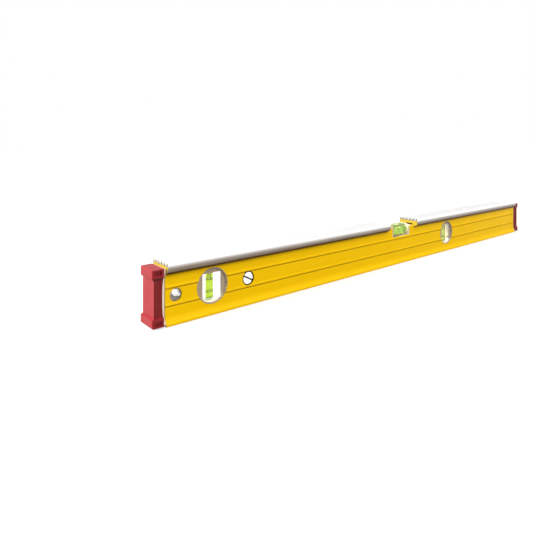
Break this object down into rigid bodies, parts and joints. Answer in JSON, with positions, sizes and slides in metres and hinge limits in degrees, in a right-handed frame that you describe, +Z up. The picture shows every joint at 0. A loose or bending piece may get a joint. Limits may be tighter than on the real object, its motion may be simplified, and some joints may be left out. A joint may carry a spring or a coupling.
{
  "type": "spirit level",
  "caption": "Long straight spirit level: yellow aluminium box body with a ridged bare top rail, a green level vial in a notch, round plumb vials and red end caps.",
  "frame": {"origin": "middle of the base face, on the lengthwise and widthwise centre lines", "axes": "+X along the level towards the plain end, +Z up through the vial notch, -Y out of the near side"},
  "size_m": [0.812, 0.0314, 0.0624],
  "materials": {
    "yellow_coat": "satin powder coat, bare milled rail and base",
    "white_sleeve": "moulded",
    "plug_metal": "plated",
    "seal_rubber": "matt",
    "cap_red": "moulded, fine grain",
    "cap_plug": "moulded",
    "cradle_plastic": "moulded",
    "holder_grey": "moulded",
    "clear_block": "polished acrylic",
    "green_fluid": "dyed liquid",
    "bubble": "air",
    "ring_black": "printed",
    "stopper_plastic": "moulded"
  },
  "bodies": {
    "level_body": {"level_profile": "yellow_coat", "hanging_sleeve": "white_sleeve", "slotted_plug": "plug_metal", "slotted_plug_seals": "seal_rubber", "centre_vial_cradle": "cradle_plastic", "centre_vial_block": "clear_block", "centre_vial_fluid": "green_fluid", "centre_vial_rings": "ring_black", "centre_vial_stopper": "stopper_plastic", "plumb_vial_end_holder_near": "holder_grey", "plumb_vial_end_holder_far": "holder_grey", "plumb_vial_end_block": "clear_block", "plumb_vial_end_fluid": "green_fluid", "plumb_vial_end_rings": "ring_black", "plumb_vial_end_stopper": "stopper_plastic", "plumb_vial_middle_holder_near": "holder_grey", "plumb_vial_middle_holder_far": "holder_grey", "plumb_vial_middle_block": "clear_block", "plumb_vial_middle_fluid": "green_fluid", "plumb_vial_middle_rings": "ring_black", "plumb_vial_middle_stopper": "stopper_plastic"},
    "left_cap": {"end_cap_left_shell": "cap_red", "end_cap_left_plug": "cap_plug"},
    "right_cap": {"end_cap_right_shell": "cap_red", "end_cap_right_plug": "cap_plug"},
    "centre_bubble": {"centre_vial_bubble": "bubble"},
    "end_plumb_bubble": {"plumb_vial_end_bubble": "bubble"},
    "middle_plumb_bubble": {"plumb_vial_middle_bubble": "bubble"}
  },
  "joints": [
    {"name": "left_cap_pull", "type": "slide", "parent": "level_body", "child": "left_cap", "axis": [-1, 0, 0], "range_m": [0, 0.02]},
    {"name": "right_cap_pull", "type": "slide", "parent": "level_body", "child": "right_cap", "axis": [1, 0, 0], "range_m": [0, 0.02]},
    {"name": "centre_bubble_run", "type": "slide", "parent": "level_body", "child": "centre_bubble", "axis": [1, 0, 0], "range_m": [-0.0085, 0.0085], "stiffness_N_per_m": 1},
    {"name": "end_plumb_bubble_run", "type": "slide", "parent": "level_body", "child": "end_plumb_bubble", "axis": [0, 0, 1], "range_m": [-0.0167, 0], "stiffness_N_per_m": 1, "springref_m": 0.01},
    {"name": "middle_plumb_bubble_run", "type": "slide", "parent": "level_body", "child": "middle_plumb_bubble", "axis": [0, 0, 1], "range_m": [-0.0167, 0], "stiffness_N_per_m": 1, "springref_m": 0.01}
  ]
}
